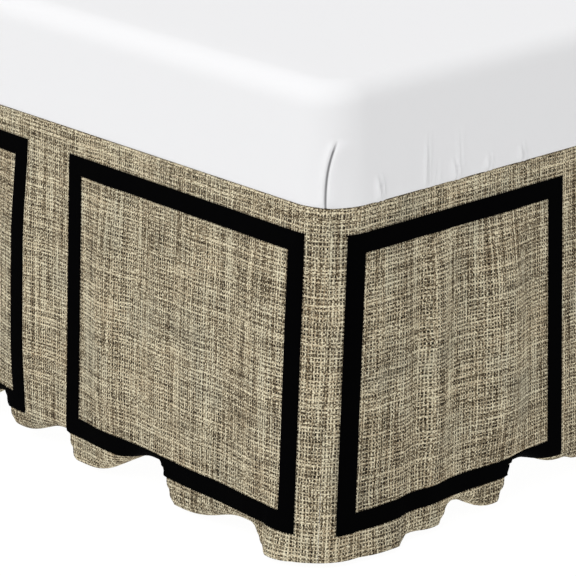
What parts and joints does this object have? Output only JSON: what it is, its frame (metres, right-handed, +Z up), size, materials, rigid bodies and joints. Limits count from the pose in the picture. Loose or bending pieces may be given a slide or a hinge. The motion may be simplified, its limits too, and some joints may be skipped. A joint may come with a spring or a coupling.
{
  "type": "bed skirt on a plain bed with mattress",
  "caption": "Tailored bed skirt in beige tweed with black tape frames, hanging straight to the floor around a plain bed with a fitted mattress.",
  "frame": {"origin": "on the floor, under the middle of the whole object's bounding box", "axes": "+Z up; +Y from the foot of the bed to its head, along its length; +X to the bed's right, seen from the foot looking to the head"},
  "size_m": [1.39, 1.9334, 0.5169],
  "materials": {
    "tweed": "coarse beige tweed, matte, flecked with cream, tan, grey-olive, rust and dark brown threads",
    "tape": "flat black woven tape, matte, with mitred corners",
    "deck_cloth": "plain off-white platform cloth",
    "sheet_cotton": "smooth white cotton",
    "ticking": "off-white ticking",
    "leg_wood": "dark stained hardwood, satin"
  },
  "bodies": {
    "root": {"drop_foot": "tweed", "drop_left": "tweed", "drop_right": "tweed", "tape_foot_1": "tape", "tape_foot_2": "tape", "tape_foot_3": "tape", "tape_left_1": "tape", "tape_left_2": "tape", "tape_left_3": "tape", "tape_left_4": "tape", "tape_left_5": "tape", "tape_right_1": "tape", "tape_right_2": "tape", "tape_right_3": "tape", "tape_right_4": "tape", "tape_right_5": "tape", "deck": "deck_cloth", "fitted_sheet": "sheet_cotton", "mattress": "ticking", "foundation": "ticking", "leg_left_1": "leg_wood", "leg_left_2": "leg_wood", "leg_left_3": "leg_wood", "leg_right_1": "leg_wood", "leg_right_2": "leg_wood", "leg_right_3": "leg_wood"}
  },
  "joints": []
}
